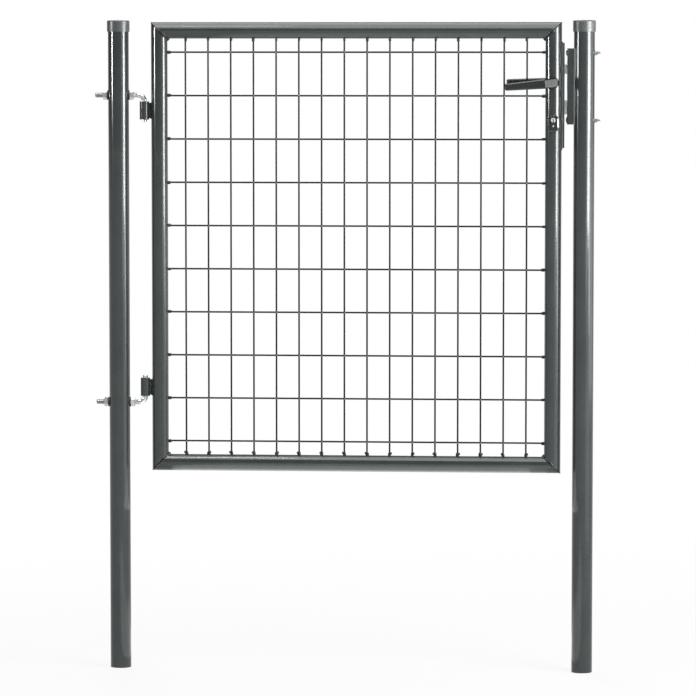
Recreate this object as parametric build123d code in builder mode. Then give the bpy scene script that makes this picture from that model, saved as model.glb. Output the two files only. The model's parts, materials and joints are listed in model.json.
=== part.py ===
from build123d import *
from math import cos, radians, sin, sqrt
import os

os.makedirs("parts", exist_ok=True)

# Single garden gate of welded mesh between two round posts.
# Millimetres. The origin is the centre of the hinge post's foot, +X runs to the latch post,
# +Z is up and the front, with the lever that is seen first, faces -Y.

# Posts and caps
post_od = 48.0
post_wall = 2.0
post_length = 1500.0
cap_wall = 2.0
cap_skirt = 22.0
cap_crown = 5.0
cap_slope = 1.2
cap_edge = 2.5
cap_fit = 0.1

# Leaf frame, level with the tops of the posts
frame_od = 38.0
frame_wall = 1.5
leaf_width = 947.0
leaf_height = 1038.0
latch_gap = 27.0

# Mesh
wire_d = 4.0
wire_gap = 0.1
upright_pitch = 52.5
cross_pitch = 100.0
mesh_edge = 30.0

# Hook bolts, nuts, saddles and barrels
rod_d = 12.0
rod_spare = 10.0
tail_spare = 18.0
rod_chamfer = 1.0
rod_hole_play = 0.3
bend_r = 14.0
upper_rod_drop = 168.0
lower_rod_rise = 159.0
pin_proud = 6.0
nut_flats = 19.0
nut_height = 10.0
nut_play = 0.05
saddle_d = 22.0
saddle_thickness = 2.0
saddle_fit = 0.05
barrel_od = 22.0
barrel_length = 42.0
barrel_play = 0.1
barrel_end_gap = 0.3
tab_length = 16.0
tab_thickness = 6.0
tab_height = 36.0

# Lock, hung below the top of the leaf and measured from the axis of the lock stile
spindle_drop = 139.0
cylinder_drop = 85.0
case_rise = 51.0
case_drop = 123.0
case_thickness = 14.0
case_sheet = 1.25
case_rear_play = 0.339
case_play = 0.25
forend_above = 41.0
forend_below = 26.0
forend_width = 22.0
forend_thickness = 3.0
forend_stand = 3.0
forend_corner = 3.0
seat_inset = 0.5
seat_overhang = 4.0
seat_chamfer = 4.0
tube_fit = 0.05
bolt_play = 0.5
screw_d = 5.0
screw_head_d = 9.0
screw_length = 12.0
screw_inset = 10.0
screw_play = 0.1

# Latch bolt, dead bolt and latch spring
latch_height = 21.0
latch_rise = 31.5
latch_throw = 12.0
latch_head = 29.0
latch_bevel = 7.0
latch_lip = 2.0
finger_front = 1.4
finger_thickness = 3.0
finger_rise = 15.0
bridge_height = 5.0
dead_height = 32.0
dead_rise = 29.0
dead_throw = 18.0
dead_length = 39.0
talon_length = 4.0
talon_drop = 3.0
talon_back = 17.2
talon_width = 9.0
spring_pocket_d = 8.0
spring_pocket_depth = 12.0
spring_lift = 3.0
spring_d = 6.6
spring_wire = 1.0
spring_pitch = 4.2
spring_seat = 0.2

# Follower, spindle, levers and roses
spindle_size = 8.0
spindle_play = 0.1
spindle_cover = 1.5
follower_d = 18.0
journal_d = 16.0
journal_play = 0.1
arm_width = 6.0
arm_reach = 19.0
arm_lean = 20.0
inside_play = 0.35
rose_d = 26.0
rose_stand = 4.0
rose_bore_d = 12.4
lever_gap = 0.4
lever_reach = 110.0
neck_length = 15.1
neck_d = 23.0
shoulder_rise = 27.5
crease_out = 18.0
grip_thickness = 11.0
hub_out = 10.0
nose_start = 12.0
nose_height = 16.0
hub_height = 22.4
tip_height = 16.0
edge_round = 4.0
front_droop = 5.0
rear_droop = 0.0
grub_d = 5.0
grub_length = 5.5
grub_inset = 5.6

# Profile cylinder and escutcheons
profile_d = 17.0
profile_slab = 10.0
profile_height = 33.0
profile_play = 0.3
cylinder_proud = 3.5
plug_d = 13.0
plug_play = 0.1
plug_proud = 0.4
cam_width = 10.0
cam_d = 17.0
cam_reach = 13.2
cam_nose = 8.0
cam_play = 0.2
bridge_drop = 14.5
keyway_width = 2.2
keyway_height = 8.0
keyway_depth = 12.0
scutcheon_width = 26.0
scutcheon_height = 40.0
scutcheon_stand = 3.5
scutcheon_edge = 2.4
scutcheon_slope = 3.6
fixing_screw_drop = 18.5
fixing_screw_end = 3.5

# Strike channel and its bolts
strike_depth = 15.0
strike_sheet = 2.5
strike_width = 25.0
strike_above = 37.0
strike_below = 23.0
strike_corner = 3.0
strike_fit = 0.1
strike_slot_play = 0.8
strike_bolt_inset = 10.0
strike_bolt_d = 6.0
strike_bolt_play = 0.3
strike_head_d = 14.0
strike_head_height = 3.0
strike_bolt_spare = 6.9
strike_nut_flats = 10.0
strike_nut_height = 5.0
strike_washer_d = 12.0
strike_washer_thickness = 1.6

# Places of the posts, the hinge and the leaf, worked out from the sizes above
post_r = post_od / 2
frame_r = frame_od / 2
clamp_face = post_r + saddle_thickness + nut_height
hinge_x = clamp_face + rod_spare + bend_r
rod_tail = clamp_face + tail_spare
leaf_left = hinge_x + tab_length
leaf_right = leaf_left + leaf_width
leaf_top = post_length
leaf_bottom = leaf_top - leaf_height
leaf_middle_x = leaf_left + leaf_width / 2
leaf_middle_z = leaf_bottom + leaf_height / 2
post_spacing = leaf_right + latch_gap + post_r
hinge_stile_x = leaf_left + frame_r
lock_stile_x = leaf_right - frame_r
upper_rod_z = leaf_top - upper_rod_drop
lower_rod_z = leaf_bottom + lower_rod_rise
rod_heights = (upper_rod_z, lower_rod_z)

# Mesh: as many wires as the frame has room for
inner_width = leaf_width - 2 * frame_od
inner_height = leaf_height - 2 * frame_od
upright_count = int((inner_width - 2 * mesh_edge) / upright_pitch) + 1
cross_count = int((inner_height - 2 * mesh_edge) / cross_pitch) + 1
wire_offset = (wire_d + wire_gap) / 2

# Places in the lock
spindle_z = leaf_top - spindle_drop
cylinder_z = spindle_z - cylinder_drop
fixing_screw_z = cylinder_z - fixing_screw_drop
case_top = spindle_z + case_rise
case_bottom = spindle_z - case_drop
case_half = case_thickness / 2
case_middle = (case_top + case_bottom) / 2
case_height = case_top - case_bottom
case_back = sqrt((frame_r - frame_wall) ** 2 - case_half**2) - case_rear_play
bolt_thickness = case_thickness - 2 * case_sheet - 2 * bolt_play
forend_top = case_top + forend_above
forend_bottom = case_bottom - forend_below
forend_length = forend_top - forend_bottom
forend_middle = (forend_top + forend_bottom) / 2
forend_back = frame_r + forend_stand
forend_face = forend_back + forend_thickness
seat_width = forend_width - 2 * seat_inset
screw_heights = (forend_top - screw_inset, forend_bottom + screw_inset)
latch_centre = spindle_z + latch_rise
latch_bottom = latch_centre - latch_height / 2
latch_top = latch_centre + latch_height / 2
latch_nose = forend_face + latch_throw
latch_back = latch_nose - latch_head
finger_bottom = spindle_z + finger_rise
dead_centre = cylinder_z + dead_rise
dead_bottom = dead_centre - dead_height / 2
dead_nose = forend_face + dead_throw
dead_back = dead_nose - dead_length
rose_face = frame_r + rose_stand
neck_start = rose_face + lever_gap
shoulder = neck_start + neck_length
lever_front = shoulder + shoulder_rise
spindle_half = shoulder - spindle_cover
grub_from_gate = neck_start + grub_inset
scutcheon_face = frame_r + scutcheon_stand
scutcheon_z = cylinder_z + profile_d / 2 - profile_height / 2
cylinder_half = scutcheon_face + cylinder_proud

# Places of the strike, which reaches past both bolts
strike_stand = post_r + strike_depth
strike_x = post_spacing - strike_stand
strike_top = latch_top + strike_above
strike_bottom = dead_bottom - strike_below
strike_height = strike_top - strike_bottom
strike_bolts_z = (strike_top - strike_bolt_inset, strike_bottom + strike_bolt_inset)
strike_bolt_end = post_r + strike_washer_thickness + strike_nut_height + strike_bolt_spare

# How near two places count as the same one when an edge is picked
touch = 0.01

# Upright plane across the lock stile: X across, Y up, normal towards the front
lock_plane = Plane(origin=(lock_stile_x, 0, 0), x_dir=(1, 0, 0), z_dir=(0, -1, 0))


def across(x, z=0.0):
    # Plane square to X: sketch X is depth, sketch Y is height, normal towards the latch post
    return Plane(origin=(x, 0, z), x_dir=(0, 1, 0), z_dir=(1, 0, 0))


def mitre(x, z, right, up):
    # Mitre plane through an outer corner of the leaf, with its normal towards the rail's side
    return Plane(origin=(x, 0, z), z_dir=(right, 0, up))


def cylinder_profile(play):
    # Outline of the profile cylinder, drawn about its plug and widened by the play
    with Locations((0, cylinder_z)):
        Circle(profile_d / 2 + play)
    with Locations((0, cylinder_z + profile_d / 2 - profile_height + profile_slab / 2)):
        Circle(profile_slab / 2 + play)
    slab_top = cylinder_z
    slab_bottom = cylinder_z + profile_d / 2 - profile_height + profile_slab / 2
    with Locations((0, (slab_top + slab_bottom) / 2)):
        Rectangle(profile_slab + 2 * play, slab_top - slab_bottom)


# Posts: round tubes with cross holes for the bolts that pass through them
def post(x, hole_heights, hole_d):
    with BuildPart() as tube:
        with BuildSketch(Plane((x, 0, 0))):
            Circle(post_r)
            Circle(post_r - post_wall, mode=Mode.SUBTRACT)
        extrude(amount=post_length)
        with BuildSketch(across(x - post_od)):
            with Locations(*[(0, z) for z in hole_heights]):
                Circle(hole_d / 2)
        extrude(amount=2 * post_od, mode=Mode.SUBTRACT)
    return tube


hinge_post = post(0, rod_heights, rod_d + 2 * rod_hole_play)
hinge_post.part.label = "hinge_post"
export_step(hinge_post.part, "parts/hinge_post.step")

latch_post = post(post_spacing, strike_bolts_z, strike_bolt_d + 2 * strike_bolt_play)
latch_post.part.label = "latch_post"
export_step(latch_post.part, "parts/latch_post.step")


# Push-on caps: a skirt outside the tube under a low dome that sits on the tube's end
def cap(x):
    bore_r = post_r + cap_fit
    outer_r = bore_r + cap_wall
    with BuildPart() as cover:
        with BuildSketch(Plane(origin=(x, 0, post_length), x_dir=(1, 0, 0), z_dir=(0, -1, 0))) as half:
            with BuildLine():
                Polyline(
                    (0, 0),
                    (bore_r, 0),
                    (bore_r, -cap_skirt),
                    (outer_r, -cap_skirt),
                    (outer_r, cap_crown - cap_slope),
                    (0, cap_crown),
                    close=True,
                )
            make_face()
            fillet(half.vertices().group_by(Axis.Y)[-2], cap_edge)
        revolve(axis=Axis((x, 0, 0), (0, 0, 1)))
    return cover


hinge_post_cap = cap(0)
hinge_post_cap.part.label = "hinge_post_cap"
export_step(hinge_post_cap.part, "parts/hinge_post_cap.step")

latch_post_cap = cap(post_spacing)
latch_post_cap.part.label = "latch_post_cap"
export_step(latch_post_cap.part, "parts/latch_post_cap.step")


# Hook bolts: a threaded rod through the post, bent square into an upright hinge pin
def hook_bolt(rod_z, way):
    pin_end = rod_z + way * (bend_r + barrel_end_gap + barrel_length + pin_proud)
    with BuildPart() as hook:
        with BuildLine(Plane.XZ) as centre_line:
            Line((-rod_tail, rod_z), (hinge_x - bend_r, rod_z))
            JernArc((hinge_x - bend_r, rod_z), (1, 0), bend_r, way * 90)
            Line((hinge_x, rod_z + way * bend_r), (hinge_x, pin_end))
        with BuildSketch(across(-rod_tail, rod_z)):
            Circle(rod_d / 2)
        sweep(path=centre_line.wire())
        end_edges = hook.edges().filter_by(GeomType.CIRCLE).filter_by(
            lambda e: abs(e.center().X + rod_tail) < touch or abs(e.center().Z - pin_end) < touch
        )
        chamfer(end_edges, rod_chamfer)
    return hook


upper_hinge_bolt = hook_bolt(upper_rod_z, -1)
upper_hinge_bolt.part.label = "upper_hinge_bolt"
export_step(upper_hinge_bolt.part, "parts/upper_hinge_bolt.step")

lower_hinge_bolt = hook_bolt(lower_rod_z, 1)
lower_hinge_bolt.part.label = "lower_hinge_bolt"
export_step(lower_hinge_bolt.part, "parts/lower_hinge_bolt.step")

# Saddle washers between the round post and the flat nuts, one on each side of each rod
with BuildPart() as saddle_washers:
    for rod_z in rod_heights:
        with BuildSketch(Plane.XY.offset(rod_z - saddle_d / 2)):
            Rectangle(2 * (post_r + saddle_thickness), saddle_d)
            Circle(post_r + saddle_fit, mode=Mode.SUBTRACT)
        extrude(amount=saddle_d)
    with BuildSketch(across(-clamp_face)):
        with Locations(*[(0, z) for z in rod_heights]):
            Circle(saddle_d / 2)
    extrude(amount=2 * clamp_face, mode=Mode.INTERSECT)
    with BuildSketch(across(-post_od)):
        with Locations(*[(0, z) for z in rod_heights]):
            Circle(rod_d / 2 + rod_hole_play)
    extrude(amount=2 * post_od, mode=Mode.SUBTRACT)
saddle_washers.part.label = "saddle_washers"
export_step(saddle_washers.part, "parts/saddle_washers.step")

# Nuts that clamp each rod from both sides of the post
with BuildPart() as hinge_nuts:
    for rod_z in rod_heights:
        for start in (clamp_face - nut_height, -clamp_face):
            with BuildSketch(across(start, rod_z)):
                RegularPolygon(nut_flats / 2, 6, major_radius=False, rotation=30)
                Circle(rod_d / 2 + nut_play, mode=Mode.SUBTRACT)
            extrude(amount=nut_height)
hinge_nuts.part.label = "hinge_nuts"
export_step(hinge_nuts.part, "parts/hinge_nuts.step")


# Leaf frame: four round tubes, mitred where they meet
def rail(z, up):
    with BuildPart() as tube:
        with BuildSketch(across(leaf_left, z)):
            Circle(frame_r)
            Circle(frame_r - frame_wall, mode=Mode.SUBTRACT)
        extrude(amount=leaf_width)
        corner_z = z + up * frame_r
        split(bisect_by=mitre(leaf_left, corner_z, 1, up), keep=Keep.TOP)
        split(bisect_by=mitre(leaf_right, corner_z, -1, up), keep=Keep.TOP)
    return tube


top_rail = rail(leaf_top - frame_r, 1)
top_rail.part.label = "top_rail"
export_step(top_rail.part, "parts/top_rail.step")

bottom_rail = rail(leaf_bottom + frame_r, -1)
bottom_rail.part.label = "bottom_rail"
export_step(bottom_rail.part, "parts/bottom_rail.step")

with BuildPart() as hinge_stile:
    with BuildSketch(Plane((hinge_stile_x, 0, leaf_bottom))):
        Circle(frame_r)
        Circle(frame_r - frame_wall, mode=Mode.SUBTRACT)
    extrude(amount=leaf_height)
    split(bisect_by=mitre(leaf_left, leaf_top, 1, 1), keep=Keep.BOTTOM)
    split(bisect_by=mitre(leaf_left, leaf_bottom, 1, -1), keep=Keep.BOTTOM)
hinge_stile.part.label = "hinge_stile"
export_step(hinge_stile.part, "parts/hinge_stile.step")

# The lock stile is slotted for the lock case and pierced for spindle, cylinder and screws
with BuildPart() as lock_stile:
    with BuildSketch(Plane((lock_stile_x, 0, leaf_bottom))):
        Circle(frame_r)
        Circle(frame_r - frame_wall, mode=Mode.SUBTRACT)
    extrude(amount=leaf_height)
    split(bisect_by=mitre(leaf_right, leaf_top, -1, 1), keep=Keep.BOTTOM)
    split(bisect_by=mitre(leaf_right, leaf_bottom, -1, -1), keep=Keep.BOTTOM)
    with BuildSketch(across(lock_stile_x)):
        with Locations((0, case_middle)):
            Rectangle(case_thickness + 2 * case_play, case_height + 2 * case_play)
        with Locations(*[(0, z) for z in screw_heights]):
            Circle(screw_d / 2 + screw_play)
    extrude(amount=frame_od, mode=Mode.SUBTRACT)
    with BuildSketch(lock_plane):
        with Locations((0, spindle_z)):
            Circle(rose_bore_d / 2)
        cylinder_profile(profile_play)
    extrude(amount=frame_od, both=True, mode=Mode.SUBTRACT)
lock_stile.part.label = "lock_stile"
export_step(lock_stile.part, "parts/lock_stile.step")

# Mesh: upright wires lie in front of the cross wires and butt against the frame
with BuildPart() as upright_wires:
    with BuildSketch(Plane((leaf_middle_x, -wire_offset, leaf_bottom + frame_od))):
        with GridLocations(upright_pitch, wire_d, upright_count, 1):
            Circle(wire_d / 2)
    extrude(amount=inner_height)
upright_wires.part.label = "upright_wires"
export_step(upright_wires.part, "parts/upright_wires.step")

with BuildPart() as cross_wires:
    with BuildSketch(across(leaf_left + frame_od, leaf_middle_z)):
        with Locations((wire_offset, 0)):
            with GridLocations(wire_d, cross_pitch, 1, cross_count):
                Circle(wire_d / 2)
    extrude(amount=inner_width)
cross_wires.part.label = "cross_wires"
export_step(cross_wires.part, "parts/cross_wires.step")


# Hinge barrels: a thick bush with a tab that is welded to the hinge stile
def barrel(rod_z, way):
    near_end = rod_z + way * (bend_r + barrel_end_gap)
    bottom = min(near_end, near_end + way * barrel_length)
    with BuildPart() as bush:
        with BuildSketch(Plane((hinge_x, 0, bottom))):
            Circle(barrel_od / 2)
        extrude(amount=barrel_length)
        with BuildSketch(Plane((hinge_x, 0, bottom + (barrel_length - tab_height) / 2))):
            with Locations((tab_length / 2, 0)):
                Rectangle(tab_length, tab_thickness)
        extrude(amount=tab_height)
        with BuildSketch(Plane((hinge_x, 0, bottom))):
            Circle(rod_d / 2 + barrel_play)
        extrude(amount=barrel_length, mode=Mode.SUBTRACT)
    return bush


upper_hinge_barrel = barrel(upper_rod_z, -1)
upper_hinge_barrel.part.label = "upper_hinge_barrel"
export_step(upper_hinge_barrel.part, "parts/upper_hinge_barrel.step")

lower_hinge_barrel = barrel(lower_rod_z, 1)
lower_hinge_barrel.part.label = "lower_hinge_barrel"
export_step(lower_hinge_barrel.part, "parts/lower_hinge_barrel.step")

# Lock seat: a collar welded on the round stile that gives the forend a flat bed
with BuildPart() as lock_seat:
    with BuildSketch(across(lock_stile_x, forend_middle)):
        Rectangle(seat_width, forend_length + 2 * seat_overhang)
    extrude(amount=forend_back)
    end_edges = lock_seat.faces().sort_by(Axis.X)[-1].edges().filter_by(Axis.Y)
    chamfer(end_edges, seat_chamfer)
    with BuildSketch(Plane((lock_stile_x, 0, leaf_bottom))):
        Circle(frame_r + tube_fit)
    extrude(amount=leaf_height, mode=Mode.SUBTRACT)
    with BuildSketch(across(lock_stile_x)):
        with Locations((0, case_middle)):
            Rectangle(case_thickness + 2 * case_play, case_height + 2 * case_play)
        with Locations(*[(0, z) for z in screw_heights]):
            Circle(screw_d / 2 + screw_play)
    extrude(amount=forend_back, mode=Mode.SUBTRACT)
lock_seat.part.label = "lock_seat"
export_step(lock_seat.part, "parts/lock_seat.step")

# Forend: the lock's face strip, with windows for both bolts and countersunk screw holes
with BuildPart() as forend:
    with BuildSketch(across(lock_stile_x + forend_back, forend_middle)):
        RectangleRounded(forend_width, forend_length, forend_corner)
    extrude(amount=forend_thickness)
    with BuildSketch(across(lock_stile_x + forend_back)):
        with Locations((0, latch_centre)):
            Rectangle(bolt_thickness + 2 * bolt_play, latch_height + 2 * bolt_play)
        with Locations((0, dead_centre)):
            Rectangle(bolt_thickness + 2 * bolt_play, dead_height + 2 * bolt_play)
        with Locations((0, fixing_screw_z)):
            Circle(screw_d / 2 + screw_play)
    extrude(amount=forend_thickness, mode=Mode.SUBTRACT)
    with Locations(*[across(lock_stile_x + forend_face, z).location for z in screw_heights]):
        CounterSinkHole(screw_d / 2 + screw_play, screw_head_d / 2 + screw_play, forend_thickness)
    with Locations(across(lock_stile_x + forend_face, fixing_screw_z).location):
        CounterSinkHole(screw_d / 2 + screw_play, screw_head_d / 2 + screw_play, forend_thickness)
forend.part.label = "forend"
export_step(forend.part, "parts/forend.step")


# Countersunk screws, drawn from the forend's face inwards
def screw_half_section(length):
    cone = (screw_head_d - screw_d) / 2
    Polygon(
        (0, 0),
        (0, screw_head_d / 2),
        (-cone, screw_d / 2),
        (-length, screw_d / 2),
        (-length, 0),
        align=None,
    )


def screw_plane(z):
    return Plane(origin=(lock_stile_x + forend_face, 0, z), x_dir=(1, 0, 0), z_dir=(0, -1, 0))


with BuildPart() as forend_screws:
    for z in screw_heights:
        with BuildSketch(screw_plane(z)):
            screw_half_section(screw_length)
        revolve(axis=Axis((lock_stile_x, 0, z), (1, 0, 0)))
forend_screws.part.label = "forend_screws"
export_step(forend_screws.part, "parts/forend_screws.step")

with BuildPart() as cylinder_screw:
    with BuildSketch(screw_plane(fixing_screw_z)):
        screw_half_section(forend_face + fixing_screw_end)
    revolve(axis=Axis((lock_stile_x, 0, fixing_screw_z), (1, 0, 0)))
cylinder_screw.part.label = "cylinder_screw"
export_step(cylinder_screw.part, "parts/cylinder_screw.step")

# Lock case: a shallow sheet tray, open to the forend and closed in front by a flat cover
with BuildPart() as lock_case:
    with BuildSketch(lock_plane.offset(case_sheet - case_half)):
        with Locations(((forend_back - case_back) / 2, case_middle)):
            Rectangle(forend_back + case_back, case_height)
    extrude(amount=-case_sheet)
    with BuildSketch(lock_plane.offset(case_sheet - case_half)):
        with Locations(((forend_back - case_back) / 2, case_middle)):
            Rectangle(forend_back + case_back, case_height)
        with Locations(((forend_back - case_back + case_sheet) / 2, case_middle)):
            Rectangle(
                forend_back + case_back - case_sheet, case_height - 2 * case_sheet, mode=Mode.SUBTRACT
            )
    extrude(amount=case_thickness - 2 * case_sheet)
    with BuildSketch(lock_plane):
        with Locations((0, spindle_z)):
            Circle(journal_d / 2 + journal_play)
        cylinder_profile(profile_play)
    extrude(amount=-case_half, mode=Mode.SUBTRACT)
lock_case.part.label = "lock_case"
export_step(lock_case.part, "parts/lock_case.step")

with BuildPart() as lock_cover:
    with BuildSketch(lock_plane.offset(case_half - case_sheet)):
        with Locations(((forend_back - case_back) / 2, case_middle)):
            Rectangle(forend_back + case_back, case_height)
        with Locations((0, spindle_z)):
            Circle(journal_d / 2 + journal_play, mode=Mode.SUBTRACT)
    extrude(amount=case_sheet)
    with BuildSketch(lock_plane):
        cylinder_profile(profile_play)
    extrude(amount=case_half, mode=Mode.SUBTRACT)
lock_cover.part.label = "lock_cover"
export_step(lock_cover.part, "parts/lock_cover.step")

# Latch bolt: bevelled head, a pocket for its spring, and a finger that the follower pushes back
with BuildPart() as latch_bolt:
    with BuildSketch(Plane((lock_stile_x, 0, latch_bottom))):
        half = bolt_thickness / 2
        with BuildLine():
            Polyline(
                (latch_back, -half),
                (latch_nose - latch_bevel, -half),
                (latch_nose, half - latch_lip),
                (latch_nose, half),
                (latch_back, half),
                close=True,
            )
        make_face()
    extrude(amount=latch_height)
    with BuildSketch(lock_plane):
        finger_back = finger_front - finger_thickness
        with Locations(((finger_back + latch_back) / 2, latch_bottom + bridge_height / 2)):
            Rectangle(latch_back - finger_back, bridge_height)
        with Locations((finger_back + finger_thickness / 2, (finger_bottom + latch_bottom) / 2)):
            Rectangle(finger_thickness, latch_bottom - finger_bottom)
    extrude(amount=bolt_thickness / 2, both=True)
    with BuildSketch(across(lock_stile_x + latch_back, latch_centre + spring_lift)):
        Circle(spring_pocket_d / 2)
    extrude(amount=spring_pocket_depth, mode=Mode.SUBTRACT)
latch_bolt.part.label = "latch_bolt"
export_step(latch_bolt.part, "parts/latch_bolt.step")

# Latch spring: from the floor of the latch bolt's pocket back to the case's rear wall
with BuildPart() as latch_spring:
    spring_end = latch_back + spring_pocket_depth - spring_seat - spring_wire / 2
    spring_length = spring_end + case_back - case_sheet - spring_seat - spring_wire / 2
    with BuildLine() as coil:
        Helix(
            spring_pitch,
            spring_length,
            (spring_d - spring_wire) / 2,
            center=(lock_stile_x + spring_end, 0, latch_centre + spring_lift),
            direction=(-1, 0, 0),
        )
    with BuildSketch(Plane(origin=coil.line @ 0, z_dir=coil.line % 0)):
        Circle(spring_wire / 2)
    sweep(path=coil.line, is_frenet=True)
latch_spring.part.label = "latch_spring"
export_step(latch_spring.part, "parts/latch_spring.step")

# Dead bolt: a square-nosed block with a talon below that the cam strikes
with BuildPart() as dead_bolt:
    with BuildSketch(lock_plane):
        with Locations(((dead_back + dead_nose) / 2, dead_centre)):
            Rectangle(dead_length, dead_height)
    extrude(amount=bolt_thickness / 2, both=True)
    with BuildSketch(lock_plane):
        with Locations((talon_back + talon_length / 2, dead_bottom - talon_drop / 2)):
            Rectangle(talon_length, talon_drop)
    extrude(amount=talon_width / 2, both=True)
    with BuildSketch(lock_plane):
        with Locations(((dead_back + talon_back) / 2, cylinder_z)):
            Rectangle(talon_back - dead_back, 2 * (cam_reach + cam_play))
    extrude(amount=bolt_thickness, both=True, mode=Mode.SUBTRACT)
dead_bolt.part.label = "dead_bolt"
export_step(dead_bolt.part, "parts/dead_bolt.step")

# Follower: the hub that the spindle turns, with the arm that draws the latch bolt
with BuildPart() as follower:
    with BuildSketch(lock_plane):
        with Locations((0, spindle_z)):
            Circle(follower_d / 2)
        with Locations(Location((0, spindle_z), -arm_lean)):
            with Locations((0, arm_reach / 2)):
                Rectangle(arm_width, arm_reach)
    extrude(amount=case_half - case_sheet - inside_play, both=True)
    with BuildSketch(lock_plane):
        with Locations((0, spindle_z)):
            Circle(journal_d / 2)
    extrude(amount=case_half, both=True)
    with BuildSketch(lock_plane):
        with Locations((0, spindle_z)):
            Rectangle(spindle_size + 2 * spindle_play, spindle_size + 2 * spindle_play)
    extrude(amount=case_half, both=True, mode=Mode.SUBTRACT)
follower.part.label = "follower"
export_step(follower.part, "parts/follower.step")

# Spindle: a square bar through the follower into both levers
with BuildPart() as spindle:
    with BuildSketch(lock_plane):
        with Locations((0, spindle_z)):
            Rectangle(spindle_size, spindle_size)
    extrude(amount=spindle_half, both=True)
spindle.part.label = "spindle"
export_step(spindle.part, "parts/spindle.step")


# Roses: round collars, hollowed behind to sit on the round stile
def rose(side):
    with BuildPart() as collar:
        with BuildSketch(lock_plane):
            with Locations((0, spindle_z)):
                Circle(rose_d / 2)
                Circle(rose_bore_d / 2, mode=Mode.SUBTRACT)
        extrude(amount=side * rose_face)
        with BuildSketch(Plane((lock_stile_x, 0, leaf_bottom))):
            Circle(frame_r + tube_fit)
        extrude(amount=leaf_height, mode=Mode.SUBTRACT)
    return collar


front_rose = rose(1)
front_rose.part.label = "front_rose"
export_step(front_rose.part, "parts/front_rose.step")

rear_rose = rose(-1)
rear_rose.part.label = "rear_rose"
export_step(rear_rose.part, "parts/rear_rose.step")


# Levers: a round neck, a slanting shoulder and a flat grip that narrows to its tip, with rounded edges
def lever(side, droop):
    lean = radians(droop)
    plan = Plane(
        origin=(lock_stile_x, 0, spindle_z),
        x_dir=(cos(lean), 0, sin(lean)),
        z_dir=(-sin(lean), 0, cos(lean)),
    )
    neck_r = neck_d / 2
    grip_back = lever_front - grip_thickness
    slope = (lever_front - shoulder) / (crease_out + hub_out)
    inner_crease = crease_out + grip_thickness * (sqrt(1 + slope**2) - 1) / slope
    inner_shoulder = grip_back - slope * (inner_crease - hub_out)
    outline = (
        (hub_out, neck_start + edge_round),
        (hub_out, shoulder),
        (-crease_out, lever_front),
        (-lever_reach, lever_front),
        (-lever_reach, grip_back),
        (-inner_crease, grip_back),
        (-hub_out, inner_shoulder),
        (-hub_out, neck_start + edge_round),
    )
    elevation = Plane(origin=plan.origin, x_dir=plan.x_dir, z_dir=(0, -1, 0))
    half_hub = hub_height / 2
    half_tip = tip_height / 2
    half_nose = nose_height / 2
    taper = (half_hub - half_tip) / (lever_reach - crease_out)
    half_end = half_tip + taper * (lever_reach + hub_out)
    nose_top = half_tip + taper * (lever_reach - nose_start)
    nose_slope = (nose_top - half_nose) / (nose_start + hub_out)
    nose_from = nose_top + nose_slope * (crease_out - nose_start)
    with BuildPart() as handle:
        with BuildSketch(plan):
            with BuildLine():
                Polyline(*[(u, -side * f) for u, f in outline], close=True)
            make_face()
        extrude(amount=half_end, both=True)
        with BuildSketch(elevation):
            with BuildLine():
                Polyline(
                    (hub_out, half_end),
                    (-lever_reach, half_tip),
                    (-lever_reach, -half_tip),
                    (hub_out, -half_end),
                    close=True,
                )
            make_face()
        extrude(amount=2 * lever_front, both=True, mode=Mode.INTERSECT)
        upright_edges = handle.edges().filter_by(Axis(plan.origin, plan.z_dir))
        tip_edges = upright_edges.sort_by(Axis(plan.origin, plan.x_dir))[:2]
        fillet(tip_edges, edge_round)
        long_edges = handle.edges().filter_by(Axis(plan.origin, plan.z_dir), reverse=True)
        fillet(long_edges, edge_round)
        with BuildSketch(elevation):
            for up in (1, -1):
                with BuildLine():
                    Polyline(
                        (-crease_out, up * nose_from),
                        (hub_out, up * half_nose),
                        (hub_out, up * (half_end + edge_round)),
                        close=True,
                    )
                make_face()
        extrude(amount=2 * lever_front, both=True, mode=Mode.SUBTRACT)
        with BuildSketch(lock_plane.offset(side * neck_start)):
            with Locations((0, spindle_z)):
                Circle(neck_r)
        extrude(amount=side * (shoulder - neck_start))
        with BuildSketch(lock_plane.offset(side * neck_start)):
            with Locations((0, spindle_z)):
                Rectangle(spindle_size + 2 * spindle_play, spindle_size + 2 * spindle_play)
        extrude(amount=side * (spindle_half + spindle_play - neck_start), mode=Mode.SUBTRACT)
        with BuildSketch(Plane((lock_stile_x, -side * grub_from_gate, spindle_z))):
            Circle(grub_d / 2 + screw_play)
        extrude(amount=-neck_d, mode=Mode.SUBTRACT)
    return handle


front_lever = lever(1, front_droop)
front_lever.part.label = "front_lever"
export_step(front_lever.part, "parts/front_lever.step")

rear_lever = lever(-1, rear_droop)
rear_lever.part.label = "rear_lever"
export_step(rear_lever.part, "parts/rear_lever.step")

# Grub screws that pinch the levers on the spindle from below
with BuildPart() as lever_grub_screws:
    for side in (1, -1):
        with BuildSketch(Plane((lock_stile_x, -side * grub_from_gate, spindle_z - spindle_size / 2))):
            Circle(grub_d / 2)
        extrude(amount=-grub_length)
lever_grub_screws.part.label = "lever_grub_screws"
export_step(lever_grub_screws.part, "parts/lever_grub_screws.step")

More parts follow.
